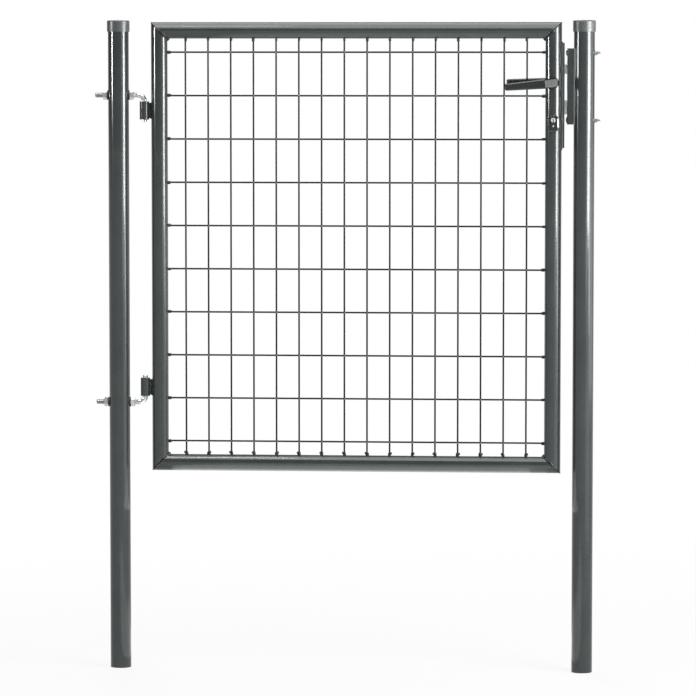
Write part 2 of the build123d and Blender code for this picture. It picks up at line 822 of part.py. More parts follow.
# Profile cylinder: body with a gap for the cam, bored for the plugs
with BuildPart() as cylinder_body:
    with BuildSketch(lock_plane):
        cylinder_profile(0)
    extrude(amount=cylinder_half, both=True)
    with BuildSketch(lock_plane):
        with Locations((0, cylinder_z)):
            Circle(plug_d / 2 + plug_play)
    extrude(amount=cylinder_half, both=True, mode=Mode.SUBTRACT)
    with BuildSketch(lock_plane):
        with Locations((0, cylinder_z + (profile_d - bridge_drop) / 2)):
            Rectangle(2 * profile_d, profile_d + bridge_drop)
    extrude(amount=cam_width / 2 + cam_play, both=True, mode=Mode.SUBTRACT)
    with BuildSketch(across(lock_stile_x - profile_d, fixing_screw_z)):
        Circle(screw_d / 2 + screw_play)
    extrude(amount=2 * profile_d, mode=Mode.SUBTRACT)
cylinder_body.part.label = "cylinder_body"
export_step(cylinder_body.part, "parts/cylinder_body.step")


# Plugs: one from each side, each with a keyway in its face
def plug(side):
    with BuildPart() as barrel_plug:
        with BuildSketch(lock_plane.offset(side * (cam_width / 2 + cam_play))):
            with Locations((0, cylinder_z)):
                Circle(plug_d / 2)
        extrude(amount=side * (cylinder_half + plug_proud - cam_width / 2 - cam_play))
        with BuildSketch(lock_plane.offset(side * (cylinder_half + plug_proud))):
            with Locations((0, cylinder_z - (plug_d - keyway_height) / 4)):
                Rectangle(keyway_width, keyway_height)
        extrude(amount=-side * keyway_depth, mode=Mode.SUBTRACT)
    return barrel_plug


front_plug = plug(1)
front_plug.part.label = "front_plug"
export_step(front_plug.part, "parts/front_plug.step")

rear_plug = plug(-1)
rear_plug.part.label = "rear_plug"
export_step(rear_plug.part, "parts/rear_plug.step")

# Cam: a disc between the plugs with a nose that hangs down at rest
with BuildPart() as cylinder_cam:
    with BuildSketch(lock_plane):
        with Locations((0, cylinder_z)):
            Circle(cam_reach)
        with Locations((0, cylinder_z - cam_reach / 2)):
            Rectangle(cam_nose, cam_reach, mode=Mode.INTERSECT)
        with Locations((0, cylinder_z)):
            Circle(cam_d / 2)
    extrude(amount=cam_width / 2, both=True)
cylinder_cam.part.label = "cylinder_cam"
export_step(cylinder_cam.part, "parts/cylinder_cam.step")


# Escutcheons: oval covers with sloped sides round the cylinder, hollowed behind to sit on the stile
def escutcheon(side):
    with BuildPart() as plate:
        with BuildSketch(lock_plane):
            with Locations((0, scutcheon_z)):
                SlotOverall(scutcheon_height, scutcheon_width, rotation=90)
        extrude(amount=side * scutcheon_face)
        front = plate.faces().sort_by(Axis.Y)[0 if side > 0 else -1]
        chamfer(front.edges(), scutcheon_slope, scutcheon_edge, reference=front)
        with BuildSketch(Plane((lock_stile_x, 0, leaf_bottom))):
            Circle(frame_r + tube_fit)
        extrude(amount=leaf_height, mode=Mode.SUBTRACT)
        with BuildSketch(lock_plane):
            cylinder_profile(profile_play)
        extrude(amount=side * scutcheon_face, mode=Mode.SUBTRACT)
    return plate


front_escutcheon = escutcheon(1)
front_escutcheon.part.label = "front_escutcheon"
export_step(front_escutcheon.part, "parts/front_escutcheon.step")

rear_escutcheon = escutcheon(-1)
rear_escutcheon.part.label = "rear_escutcheon"
export_step(rear_escutcheon.part, "parts/rear_escutcheon.step")

# Strike channel: a folded sheet whose web takes both bolts and whose flanges rest on the post
with BuildPart() as strike_channel:
    inner_half = strike_width / 2 - strike_sheet
    flange_end = strike_stand - sqrt(post_r**2 - inner_half**2) - strike_fit
    with BuildSketch(Plane((strike_x, 0, strike_bottom))):
        with Locations((flange_end / 2, 0)):
            Rectangle(flange_end, strike_width)
        with Locations(((flange_end + strike_sheet) / 2, 0)):
            Rectangle(flange_end - strike_sheet, 2 * inner_half, mode=Mode.SUBTRACT)
    extrude(amount=strike_height)
    fold_edges = strike_channel.edges().filter_by(Axis.Z).group_by(Axis.X)[0]
    fillet(fold_edges, strike_corner)
    with BuildSketch(across(strike_x)):
        for centre, height in ((latch_centre, latch_height), (dead_centre, dead_height)):
            with Locations((0, centre)):
                Rectangle(bolt_thickness + 2 * strike_slot_play, height + 2 * strike_slot_play)
        with Locations(*[(0, z) for z in strike_bolts_z]):
            Circle(strike_bolt_d / 2 + strike_bolt_play)
    extrude(amount=strike_sheet, mode=Mode.SUBTRACT)
strike_channel.part.label = "strike_channel"
export_step(strike_channel.part, "parts/strike_channel.step")

# Strike bolts: dome heads on the web, shanks through web and post
with BuildPart() as strike_bolts:
    dome_r = (strike_head_d**2 / 4 + strike_head_height**2) / (2 * strike_head_height)
    for z in strike_bolts_z:
        with BuildSketch(Plane(origin=(strike_x, 0, z), x_dir=(1, 0, 0), z_dir=(0, -1, 0))):
            with BuildLine():
                RadiusArc((-strike_head_height, 0), (0, strike_head_d / 2), dome_r)
                Polyline(
                    (0, strike_head_d / 2),
                    (0, strike_bolt_d / 2),
                    (strike_stand + strike_bolt_end, strike_bolt_d / 2),
                    (strike_stand + strike_bolt_end, 0),
                    (-strike_head_height, 0),
                )
            make_face()
        revolve(axis=Axis((strike_x, 0, z), (1, 0, 0)))
strike_bolts.part.label = "strike_bolts"
export_step(strike_bolts.part, "parts/strike_bolts.step")

# Washers and nuts behind the latch post
with BuildPart() as strike_washers:
    with BuildSketch(across(post_spacing + post_r)):
        with Locations(*[(0, z) for z in strike_bolts_z]):
            Circle(strike_washer_d / 2)
            Circle(strike_bolt_d / 2 + strike_bolt_play, mode=Mode.SUBTRACT)
    extrude(amount=strike_washer_thickness)
strike_washers.part.label = "strike_washers"
export_step(strike_washers.part, "parts/strike_washers.step")

with BuildPart() as strike_nuts:
    with BuildSketch(across(post_spacing + post_r + strike_washer_thickness)):
        with Locations(*[(0, z) for z in strike_bolts_z]):
            RegularPolygon(strike_nut_flats / 2, 6, major_radius=False, rotation=30)
            Circle(strike_bolt_d / 2 + nut_play, mode=Mode.SUBTRACT)
    extrude(amount=strike_nut_height)
strike_nuts.part.label = "strike_nuts"
export_step(strike_nuts.part, "parts/strike_nuts.step")
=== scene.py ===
import bmesh
import bpy
import json
import random
from math import cos, pi, radians, sin
from mathutils import Matrix, Vector


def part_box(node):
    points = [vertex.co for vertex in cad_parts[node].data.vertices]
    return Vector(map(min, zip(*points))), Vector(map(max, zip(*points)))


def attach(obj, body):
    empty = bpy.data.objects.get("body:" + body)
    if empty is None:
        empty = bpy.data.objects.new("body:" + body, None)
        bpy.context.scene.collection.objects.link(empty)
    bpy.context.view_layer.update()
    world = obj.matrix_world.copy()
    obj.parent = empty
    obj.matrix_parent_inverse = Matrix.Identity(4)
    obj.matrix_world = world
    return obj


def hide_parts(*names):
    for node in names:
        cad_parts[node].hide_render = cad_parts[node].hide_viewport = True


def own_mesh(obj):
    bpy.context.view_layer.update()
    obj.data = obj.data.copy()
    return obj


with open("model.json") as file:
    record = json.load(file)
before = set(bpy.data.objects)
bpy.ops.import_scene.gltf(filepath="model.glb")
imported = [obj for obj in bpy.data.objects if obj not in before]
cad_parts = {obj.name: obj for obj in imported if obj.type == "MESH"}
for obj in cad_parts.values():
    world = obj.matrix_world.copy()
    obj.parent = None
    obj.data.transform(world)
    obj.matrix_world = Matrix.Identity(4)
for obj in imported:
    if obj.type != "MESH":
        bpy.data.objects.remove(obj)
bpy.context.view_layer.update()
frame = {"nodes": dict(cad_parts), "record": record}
nodes = frame["nodes"]
chance = random.Random(41)
print("frame loaded:", len(nodes), "nodes")


# Shader maths: a socket that can be added, subtracted and multiplied
class Sock:
    def __init__(self, finish, out):
        self.finish = finish
        self.out = out

    def maths(self, operation, first, second):
        return self.finish.add("Math", {"operation": operation}, {0: first, 1: second})

    def __add__(self, other):
        return self.maths("ADD", self, other)

    def __sub__(self, other):
        return self.maths("SUBTRACT", self, other)

    def __rsub__(self, other):
        return self.maths("SUBTRACT", other, self)

    def __mul__(self, other):
        return self.maths("MULTIPLY", self, other)

    __radd__ = __add__
    __rmul__ = __mul__


# One material or world: nodes are added by type, settings first, then values or links
class Finish:
    def __init__(self, owner, coords="Object"):
        self.owner = owner
        owner.use_nodes = True
        self.tree = owner.node_tree
        self.shader = self.tree.nodes.get("Principled BSDF")
        self.place = self.add("TexCoord", out=coords)

    def add(self, kind, settings=None, sockets=None, out=0):
        node = self.tree.nodes.new("ShaderNode" + kind)
        for key, value in (settings or {}).items():
            setattr(node, key, value)
        for key, value in (sockets or {}).items():
            self.feed(node.inputs[key], value)
        return Sock(self, node.outputs[out])

    def feed(self, socket, value):
        if isinstance(value, Sock):
            self.tree.links.new(value.out, socket)
        else:
            socket.default_value = value

    def set(self, **sockets):
        for key, value in sockets.items():
            self.feed(self.shader.inputs[key.replace("_", " ")], value)

    def noise(self, scale, detail=2.0, roughness=0.5, stretch=None):
        place = self.place
        if stretch:
            place = self.add("Mapping", None, {"Vector": place, "Scale": stretch})
        return self.add(
            "TexNoise", None, {"Vector": place, "Scale": scale, "Detail": detail, "Roughness": roughness}
        )

    def cells(self, scale):
        return self.add("TexVoronoi", None, {"Vector": self.place, "Scale": scale}, "Distance")

    def weigh(self, first, second, shares):  # two values added by their shares
        return first * shares[0] + second * shares[1]

    def blend(self, amount, first, second):  # colour from first to second
        return self.add("Mix", {"data_type": "RGBA"}, {0: amount, 6: first, 7: second}, 2)

    def spread(self, value, low, high, fromLow=0.0, fromHigh=1.0):
        return self.add(
            "MapRange",
            None,
            {"Value": value, "From Min": fromLow, "From Max": fromHigh, "To Min": low, "To Max": high},
        )

    def bump(self, height, depth):
        return self.add("Bump", None, {"Height": height, "Distance": depth})

    def along(self, axis):  # one coordinate of the place
        return self.add("SeparateXYZ", None, {0: self.place}, axis)

    def away(self, centre, axes=(1, 1, 1)):  # distance from a centre, along the named axes only
        offset = self.add("VectorMath", {"operation": "SUBTRACT"}, {0: self.place, 1: centre})
        flat = self.add("VectorMath", {"operation": "MULTIPLY"}, {0: offset, 1: axes})
        return self.add("VectorMath", {"operation": "LENGTH"}, {0: flat}, "Value")


def shade(red, green, blue):
    return (red, green, blue, 1.0)


# In every finish a noise is (scale, detail, roughness, stretch), tones run from dark to pale,
# and depth is the bump's
noiseSpan = (0.3, 0.7)  # most of a noise node's values lie between these

# Powder coat: orange peel, faint cloudiness and a few duller patches
coatSet = {
    "tones": (shade(0.036, 0.0455, 0.0445), shade(0.053, 0.0645, 0.0635)),
    # pale tone of the paler strip along sheet edges, and of the painted glint on each wire crossing
    "paleTone": shade(0.42, 0.43, 0.43),
    "cloud": (9.0, 4.0, 0.6),
    "fine": (240.0,),
    "rub": (34.0, 5.0, 0.65),
    "peel": (560.0, 1.5, 0.45),
    "peelDepth": 0.00001,
    "toneShares": (0.75, 0.25),
    "rubShares": (0.6, 0.4),
    "rough": (0.08, 0.15),
    "gloss": 0.4,
    "edgeFade": 0.0004,
}


def makeFramePaint(name="framePaint", darken=1.0, gloss=coatSet["gloss"], paleStripFrom=None):
    paint = Finish(bpy.data.materials.new(name))
    dark, pale = (shade(*[part * darken for part in tone[:3]]) for tone in coatSet["tones"])
    cloud, fine, rub, peel = (paint.noise(*coatSet[key]) for key in ("cloud", "fine", "rub", "peel"))
    tone = paint.weigh(cloud, fine, coatSet["toneShares"])
    colour = paint.blend(paint.spread(tone, 0, 1, *noiseSpan), dark, pale)
    if paleStripFrom:  # a paler strip along the right edge, from this X on
        fade = coatSet["edgeFade"]
        edge = paint.spread(paint.along("X") + fine * fade, 0, 1, paleStripFrom, paleStripFrom + fade)
        colour = paint.blend(edge, colour, coatSet["paleTone"])
    sheen = paint.weigh(rub, fine, coatSet["rubShares"])
    paint.set(
        Base_Color=colour,
        Roughness=paint.spread(sheen, *coatSet["rough"], *noiseSpan),
        Normal=paint.bump(peel, coatSet["peelDepth"]),
        Specular_IOR_Level=gloss,
    )
    return paint.owner


# Moulded cap: matt, with a fine spark-eroded grain
capSet = {
    "tones": (shade(0.075, 0.085, 0.085), shade(0.105, 0.115, 0.115)),
    "grain": (1900.0,),
    "cloud": (22.0, 3.0),
    "rough": (0.3, 0.42),
    "depth": 0.00001,
    "gloss": 0.45,
}


def makeCapPlastic():
    paint = Finish(bpy.data.materials.new("capPlastic"))
    grain = paint.noise(*capSet["grain"])
    cloud = paint.noise(*capSet["cloud"])
    paint.set(
        Base_Color=paint.blend(paint.spread(cloud, 0, 1, *noiseSpan), *capSet["tones"]),
        Roughness=paint.spread(grain, *capSet["rough"]),
        Normal=paint.bump(grain, capSet["depth"]),
        Specular_IOR_Level=capSet["gloss"],
    )
    return paint.owner


# Saddle washers: black matt plastic
saddleSet = {
    "tones": (shade(0.011, 0.011, 0.012), shade(0.023, 0.023, 0.024)),
    "grain": (1500.0,),
    "rough": (0.45, 0.65),
    "depth": 0.000012,
    "gloss": 0.3,
}


def makeSaddlePlastic():
    paint = Finish(bpy.data.materials.new("saddlePlastic"))
    grain = paint.noise(*saddleSet["grain"])
    paint.set(
        Base_Color=paint.blend(grain, *saddleSet["tones"]),
        Roughness=paint.spread(grain, *saddleSet["rough"]),
        Normal=paint.bump(grain, saddleSet["depth"]),
        Specular_IOR_Level=saddleSet["gloss"],
    )
    return paint.owner


# Zinc plate: small crystals and faint staining, duller on the spare thread left of the hinge nuts
zincSet = {
    "bright": (shade(0.40, 0.42, 0.44), shade(0.68, 0.69, 0.68)),
    "dull": (shade(0.24, 0.25, 0.25), shade(0.42, 0.43, 0.43)),
    "tail": shade(0.36, 0.37, 0.37),
    "tailSpan": (-0.0362, -0.0352),
    "tailStray": 0.001,
    "crystal": 420.0,
    "stain": (60.0, 4.0, 0.6),
    "toneShares": (0.5, 0.6),
    "toneSpan": (0.2, 0.7),
    "rough": (0.22, 0.36),
    "depth": 0.00002,
    "metal": 0.85,
}


def makeZincSteel(name, tones):
    paint = Finish(bpy.data.materials.new(name))
    crystal = paint.cells(zincSet["crystal"])
    stain = paint.noise(*zincSet["stain"])
    tone = paint.spread(paint.weigh(crystal, stain, zincSet["toneShares"]), 0, 1, *zincSet["toneSpan"])
    tail = paint.spread(paint.along("X") + stain * zincSet["tailStray"], 1, 0, *zincSet["tailSpan"])
    paint.set(
        Base_Color=paint.blend(tail, paint.blend(tone, *tones), zincSet["tail"]),
        Roughness=paint.spread(stain, *zincSet["rough"], *noiseSpan),
        Normal=paint.bump(crystal, zincSet["depth"]),
        Metallic=zincSet["metal"],
    )
    return paint.owner


# Plain drawn steel of the lock's inner works, brushed along the throw
lockSet = {
    "tones": (shade(0.36, 0.36, 0.37), shade(0.62, 0.62, 0.63)),
    "brush": (90.0, 3.0, 0.6, (1.0, 14.0, 14.0)),
    "stain": (45.0, 3.0),
    "toneShares": (0.6, 0.4),
    "rough": (0.25, 0.45),
    "depth": 0.00002,
}


def makeLockSteel():
    paint = Finish(bpy.data.materials.new("lockSteel"))
    brush = paint.noise(*lockSet["brush"])
    stain = paint.noise(*lockSet["stain"])
    paint.set(
        Base_Color=paint.blend(paint.weigh(brush, stain, lockSet["toneShares"]), *lockSet["tones"]),
        Roughness=paint.spread(brush, *lockSet["rough"]),
        Normal=paint.bump(brush, lockSet["depth"]),
        Metallic=1.0,
    )
    return paint.owner


# Forend strip: blackened steel, brushed upright
forendSet = {
    "tones": (shade(0.013, 0.015, 0.015), shade(0.028, 0.031, 0.031)),
    "brush": (70.0, 3.0, 0.6, (10.0, 10.0, 1.0)),
    "fine": (700.0,),
    "rough": (0.28, 0.42),
    "depth": 0.00001,
    "gloss": 0.3,
}


def makeForendSteel():
    paint = Finish(bpy.data.materials.new("forendSteel"))
    brush = paint.noise(*forendSet["brush"])
    fine = paint.noise(*forendSet["fine"])
    paint.set(
        Base_Color=paint.blend(brush, *forendSet["tones"]),
        Roughness=paint.spread(brush, *forendSet["rough"]),
        Normal=paint.bump(fine, forendSet["depth"]),
        Specular_IOR_Level=forendSet["gloss"],
    )
    return paint.owner


# Lever and rose: black nylon with a fine satin grain
handleSet = {
    "tones": (shade(0.007, 0.0085, 0.009), shade(0.013, 0.016, 0.0165)),
    "grain": (1300.0,),
    "touch": (40.0, 4.0, 0.6),
    "sheenShares": (0.7, 0.3),
    "rough": (0.22, 0.36),
    "depth": 0.000008,
    "gloss": 0.5,
}


def makeHandlePlastic():
    paint = Finish(bpy.data.materials.new("handlePlastic"))
    grain = paint.noise(*handleSet["grain"])
    touch = paint.noise(*handleSet["touch"])
    sheen = paint.weigh(touch, grain, handleSet["sheenShares"])
    paint.set(
        Base_Color=paint.blend(touch, *handleSet["tones"]),
        Roughness=paint.spread(sheen, *handleSet["rough"], *noiseSpan),
        Normal=paint.bump(grain, handleSet["depth"]),
        Specular_IOR_Level=handleSet["gloss"],
    )
    return paint.owner


# Plugs: satin nickel face; a near-black ring round it, partly a blackened rim and partly painted shade
# of the gap and chamfer, and painted shade in the keyway and on all below the face
plugSet = {
    "tones": (shade(0.62, 0.61, 0.59), shade(0.80, 0.79, 0.76)),
    "dark": shade(0.012, 0.012, 0.012),
    "bright": 0.0050,
    "rim": 0.0057,
    "skin": 0.0003,
    "brush": (300.0, 3.0, 0.6, (1.0, 1.0, 8.0)),
    "rough": (0.25, 0.4),
    "depth": 0.00002,
    "metal": 0.5,
}


def makePlugNickel():
    paint = Finish(bpy.data.materials.new("plugNickel"))
    low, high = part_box("front_plug")
    radius = paint.away(((low.x + high.x) / 2, 0, (low.z + high.z) / 2), (1, 0, 1))
    depth = paint.along("Y")
    depth = depth.maths("ABSOLUTE", depth, 0.0)  # both plugs' faces stand as far from the middle
    # painted shade: near-black outside the face's middle and on every surface below the face
    inner = paint.spread(radius, 1, 0, plugSet["bright"], plugSet["rim"])
    face = paint.spread(depth, 0, 1, -low.y - 2 * plugSet["skin"], -low.y - plugSet["skin"])
    brush = paint.noise(*plugSet["brush"])
    paint.set(
        Base_Color=paint.blend(inner * face, plugSet["dark"], paint.blend(brush, *plugSet["tones"])),
        Roughness=paint.spread(brush, *plugSet["rough"]),
        Normal=paint.bump(brush, plugSet["depth"]),
        Metallic=plugSet["metal"],
    )
    return paint.owner


# Cylinder body: blackened brass, worn a little paler in places
bodySet = {
    "tones": (shade(0.026, 0.026, 0.026), shade(0.055, 0.055, 0.053)),
    "wear": (90.0, 4.0, 0.6),
    "rough": (0.25, 0.42),
    "depth": 0.00002,
    "metal": 0.6,
}


def makeBodyNickel():
    paint = Finish(bpy.data.materials.new("bodyNickel"))
    brush = paint.noise(*plugSet["brush"])
    wear = paint.noise(*bodySet["wear"])
    paint.set(
        Base_Color=paint.blend(wear, *bodySet["tones"]),
        Roughness=paint.spread(brush, *bodySet["rough"]),
        Normal=paint.bump(brush, bodySet["depth"]),
        Metallic=bodySet["metal"],
    )
    return paint.owner


finishes = {
    "frame_paint": makeFramePaint(),
    "cap_plastic": makeCapPlastic(),
    "saddle_plastic": makeSaddlePlastic(),
    "zinc_steel": makeZincSteel("zincSteel", zincSet["bright"]),
    "lock_steel": makeLockSteel(),
    "forend_steel": makeForendSteel(),
    "handle_plastic": makeHandlePlastic(),
    "cylinder_nickel": makePlugNickel(),
}
sheetEdges = {"strike_channel": 0.0012, "lock_seat": 0.0009}  # a paler strip this wide, from the right side in

for node in nodes.values():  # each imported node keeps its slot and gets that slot's finish
    slotName = node.data.materials[0].name
    node.data.materials.clear()
    node.data.materials.append(finishes[slotName])
nodes["cylinder_body"].data.materials[0] = makeBodyNickel()
coachZinc = makeZincSteel("coachZinc", zincSet["dull"])
nodes["strike_washers"].data.materials[0] = coachZinc
scutcheonPaint = makeFramePaint("scutcheonPaint", darken=0.6, gloss=0.5)
for name in ("front_escutcheon", "rear_escutcheon"):
    nodes[name].data.materials[0] = scutcheonPaint
for name, edge in sheetEdges.items():
    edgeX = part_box(name)[1].x - edge
    nodes[name].data.materials[0] = makeFramePaint(name + "Paint", paleStripFrom=edgeX)
print("finishes set on", len(nodes), "nodes")


# Modelling helpers
straight = 0.99  # a normal with this much of its length along an axis points that way


def deselectAll():
    if bpy.context.mode != "OBJECT":
        bpy.ops.object.mode_set(mode="OBJECT")
    bpy.ops.object.select_all(action="DESELECT")


def choose(*pieces):
    deselectAll()
    for piece in pieces:
        piece.select_set(True)
    bpy.context.view_layer.objects.active = pieces[0]


def settle(*pieces):  # place, turn and size go into the mesh
    choose(*pieces)
    bpy.ops.object.transform_apply(location=True, rotation=True, scale=True)


def openEdit(piece, action="DESELECT"):
    choose(piece)
    bpy.ops.object.mode_set(mode="EDIT")
    bpy.ops.mesh.select_all(action=action)


def closeEdit():
    bpy.ops.object.mode_set(mode="OBJECT")


def pickFaces(piece, test):
    bpy.ops.mesh.select_mode(type="FACE")
    bpy.ops.mesh.select_all(action="DESELECT")
    mesh = bmesh.from_edit_mesh(piece.data)
    for face in mesh.faces:
        if test(face.calc_center_median(), face.normal):
            face.select_set(True)
    bmesh.update_edit_mesh(piece.data)


def pushOut(step, growth=1.0, centre=(0, 0, 0), grows=(1, 1, 1)):  # extrude the picked face and size it
    bpy.ops.mesh.extrude_region_move(TRANSFORM_OT_translate={"value": step})
    if growth != 1.0:
        size = [growth if axis else 1.0 for axis in grows]
        bpy.ops.transform.resize(value=size, center_override=centre)


def turnAlongX(name, stations, y, z, sides=24):  # a turned piece from (x, radius) stations
    (startX, startR), (nextX, nextR) = stations[:2]
    deselectAll()
    bpy.ops.mesh.primitive_cone_add(
        vertices=sides,
        radius1=startR,
        radius2=nextR,
        depth=nextX - startX,
        location=((startX + nextX) / 2, y, z),
        rotation=(0, pi / 2, 0),
    )
    piece = bpy.context.object
    piece.name = name
    settle(piece)
    openEdit(piece)
    pickFaces(piece, lambda at, normal: normal.x > straight)
    lastX, lastR = nextX, nextR
    for x, radius in stations[2:]:
        pushOut((x - lastX, 0, 0), radius / lastR, (x, y, z), (0, 1, 1))
        lastX, lastR = x, radius
    closeEdit()
    return piece


def applyModifiers(piece):
    choose(piece)
    for modifier in list(piece.modifiers):
        bpy.ops.object.modifier_apply(modifier=modifier.name)


def cutWith(piece, cutter, operation):
    step = piece.modifiers.new("cut", "BOOLEAN")
    step.operation = operation
    step.object = cutter
    step.solver = "EXACT"
    applyModifiers(piece)
    bpy.data.objects.remove(cutter)


def windAlongX(piece, sides, rise, steps, angle=2 * pi, turns=1):  # an outline wound, its ends closed
    winding = piece.modifiers.new("winding", "SCREW")
    winding.axis = "X"
    winding.angle = angle
    winding.screw_offset = rise
    winding.steps = steps
    winding.render_steps = steps
    winding.iterations = turns
    applyModifiers(piece)
    openEdit(piece, "SELECT")
    bpy.ops.mesh.fill_holes(sides=sides)
    closeEdit()


def twinOf(piece, place=(0, 0, 0), turn=(0, 0, 0), size=(1, 1, 1)):
    twin = piece.copy()
    twin.data = piece.data.copy()
    bpy.context.scene.collection.objects.link(twin)
    twin.location = place
    twin.rotation_euler = turn
    twin.scale = size
    return twin


def joinAll(name, pieces):
    settle(*pieces)
    if len(pieces) > 1:
        bpy.ops.object.join()
    pieces[0].name = name
    pieces[0].data.name = name
    return pieces[0]


def cleanShell(piece):
    openEdit(piece, "SELECT")
    bpy.ops.mesh.normals_make_consistent(inside=False)
    closeEdit()


smoothAngle = {"turned": 34, "nut": 25, "round": 60}  # edges that turn more than this stay sharp


def finishPiece(piece, body, slotName, replaced=(), kind="turned", finish=None):
    cleanShell(piece)
    choose(piece)
    bpy.ops.object.shade_smooth_by_angle(angle=radians(smoothAngle[kind]))
    piece.data.materials.clear()
    piece.data.materials.append(finish or finishes[slotName])
    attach(piece, body)
    if replaced:
        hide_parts(*replaced)


# Screw thread: a three-sided ridge wound along X, its foot buried in the bar
screwThread = {"bury": 0.0003, "halfWidth": 0.46, "steps": 18}  # half width as a share of the pitch
ridgeStart = {"sides": 3, "halfWidth": 0.866, "height": 1.5}  # a three-sided circle of radius 1


def windThread(name, startX, endX, y, z, root, crest, pitch):
    deselectAll()
    bpy.ops.mesh.primitive_circle_add(
        vertices=ridgeStart["sides"], radius=1, fill_type="NOTHING", rotation=(pi / 2, 0, 0)
    )
    ridge = bpy.context.object
    ridge.name = name
    settle(ridge)
    bury = screwThread["bury"]
    width = pitch * screwThread["halfWidth"] / ridgeStart["halfWidth"]
    height = (crest - root + bury) / ridgeStart["height"]
    openEdit(ridge, "SELECT")
    bpy.ops.transform.resize(value=(width, 1, height), center_override=(0, 0, 0))
    bpy.ops.transform.translate(value=(0, 0, root - bury + height / 2))
    closeEdit()
    ridge.location = (startX + pitch / 2, y, z)
    turns = int((endX - startX) / pitch) - 1
    windAlongX(ridge, ridgeStart["sides"], pitch, screwThread["steps"], turns=turns)
    settle(ridge)
    cleanShell(ridge)
    return ridge


# Hook bolts: threaded tail through the post, quarter bend, plain hinge pin
hookBolt = {
    "radius": 0.006,
    "root": 0.0052,
    "bend": 0.014,
    "bendSteps": 12,
    "pitch": 0.00175,
    "threadLead": 0.0004,
    "threadEnd": 0.0415,
    "runOut": 0.0012,
    "tailChamfer": 0.0012,
    "pinChamfer": 0.0012,
}


def makeHookBolt(name, nodeName, way):  # way is where the pin points: 1 up, -1 down
    low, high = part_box(nodeName)
    radius, root, bend = hookBolt["radius"], hookBolt["root"], hookBolt["bend"]
    rodZ = low.z + radius if way > 0 else high.z - radius
    pinEnd = high.z if way > 0 else low.z
    pinX = high.x - radius
    tail, chamfer, threadEnd = low.x, hookBolt["tailChamfer"], hookBolt["threadEnd"]
    stations = (
        (tail, root - chamfer),
        (tail + chamfer, root),
        (threadEnd, root),
        (threadEnd + hookBolt["runOut"], radius),
        (pinX - bend, radius),
    )
    bolt = turnAlongX(name, stations, 0, rodZ)
    openEdit(bolt)
    pickFaces(bolt, lambda at, normal: normal.x > straight)
    bpy.ops.mesh.spin(
        steps=hookBolt["bendSteps"],
        angle=pi / 2,
        center=(pinX - bend, 0, rodZ + way * bend),
        axis=(0, way, 0),
    )
    pickFaces(bolt, lambda at, normal: way * normal.z > straight and at.x > pinX - radius)
    chamfer = hookBolt["pinChamfer"]
    pushOut((0, 0, pinEnd - way * chamfer - rodZ - way * bend))
    pushOut((0, 0, way * chamfer), (radius - chamfer) / radius, (pinX, 0, pinEnd), (1, 1, 0))
    closeEdit()
    start = tail + hookBolt["threadLead"]
    thread = windThread(name + "Thread", start, threadEnd, 0, rodZ, root, radius, hookBolt["pitch"])
    bolt = joinAll(name, [bolt, thread])
    finishPiece(bolt, "posts", "zinc_steel", (nodeName,))
    return rodZ


upperRodZ = makeHookBolt("upperHookBolt", "upper_hinge_bolt", -1)
lowerRodZ = makeHookBolt("lowerHookBolt", "lower_hinge_bolt", 1)
print("hook bolts modelled")

# Hexagon nuts: corners cut by a cone, bore eased at both ends
hexNut = {
    "washer": 0.46,  # radius of the flat face, as a share of the width
    "ease": 0.13,  # height of the cut corners, as a share of the depth
    "coneSides": 48,
    "flare": 1.13,
    "lead": 0.0007,
    "over": 0.001,  # the cutters run this far past the faces
    "clear": 1.05,
    "skew": 0.02,  # keeps the corners off the cone's own edges
    "stray": 0.06,
}
hingeNut = {"width": 0.019, "bore": 0.00605}


def makeNut(name, width, depth, bore):
    deselectAll()
    corner = width / 2 / cos(pi / 6)
    bpy.ops.mesh.primitive_cylinder_add(vertices=6, radius=corner, depth=depth, rotation=(0, pi / 2, 0))
    nut = bpy.context.object
    nut.name = name
    settle(nut)
    openEdit(nut, "SELECT")
    bpy.ops.transform.rotate(value=pi / 6 + hexNut["skew"], orient_axis="X", center_override=(0, 0, 0))
    closeEdit()
    half, over, lead = depth / 2, hexNut["over"], hexNut["lead"]
    washer, wide = width * hexNut["washer"], corner * hexNut["clear"]
    slope = (corner - washer) / (depth * hexNut["ease"])
    rim, tip = half - (wide - washer) / slope, washer - over * slope
    outer = ((-half - over, tip), (-rim, wide), (rim, wide), (half + over, tip))
    cutWith(nut, turnAlongX("rounding", outer, 0, 0, hexNut["coneSides"]), "INTERSECT")
    mouth = bore * hexNut["flare"]
    mouth += (mouth - bore) * over / lead
    inner = ((-half - over, mouth), (lead - half, bore), (half - lead, bore), (half + over, mouth))
    cutWith(nut, turnAlongX("drill", inner, 0, 0), "DIFFERENCE")
    return nut


def makeNutSet(name, places, width, depth, bore, nodeName, finish=None):
    master = makeNut(name, width, depth, bore)
    stray = hexNut["stray"]
    copies = [twinOf(master, place, (chance.uniform(-stray, stray), 0, 0)) for place in places]
    bpy.data.objects.remove(master)
    finishPiece(joinAll(name, copies), "posts", "zinc_steel", (nodeName,), "nut", finish)


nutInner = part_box("saddle_washers")[1].x
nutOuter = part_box("hinge_nuts")[1].x
nutMiddle = (nutInner + nutOuter) / 2
makeNutSet(
    "hingeNuts",
    [(side * nutMiddle, 0, z) for z in (upperRodZ, lowerRodZ) for side in (-1, 1)],
    hingeNut["width"],
    nutOuter - nutInner,
    hingeNut["bore"],
    "hinge_nuts",
)

# Coach bolts of the strike channel: low domed head, threaded end beyond the post
coachBolt = {
    "radius": 0.003,
    "root": 0.0025,
    "headRadius": 0.007,
    "headHeight": 0.003,
    "headRim": 0.97,
    "dome": (1.45, 1.2, 0.9, 0.6, 0.3, 0.1),  # angles of the dome's rings
    "pitch": 0.001,
    "threadBack": 0.012,
    "runOut": 0.001,
    "endChamfer": 0.0006,
    "endGap": 0.0002,
}
coachNut = {"width": 0.010, "bore": 0.00305}


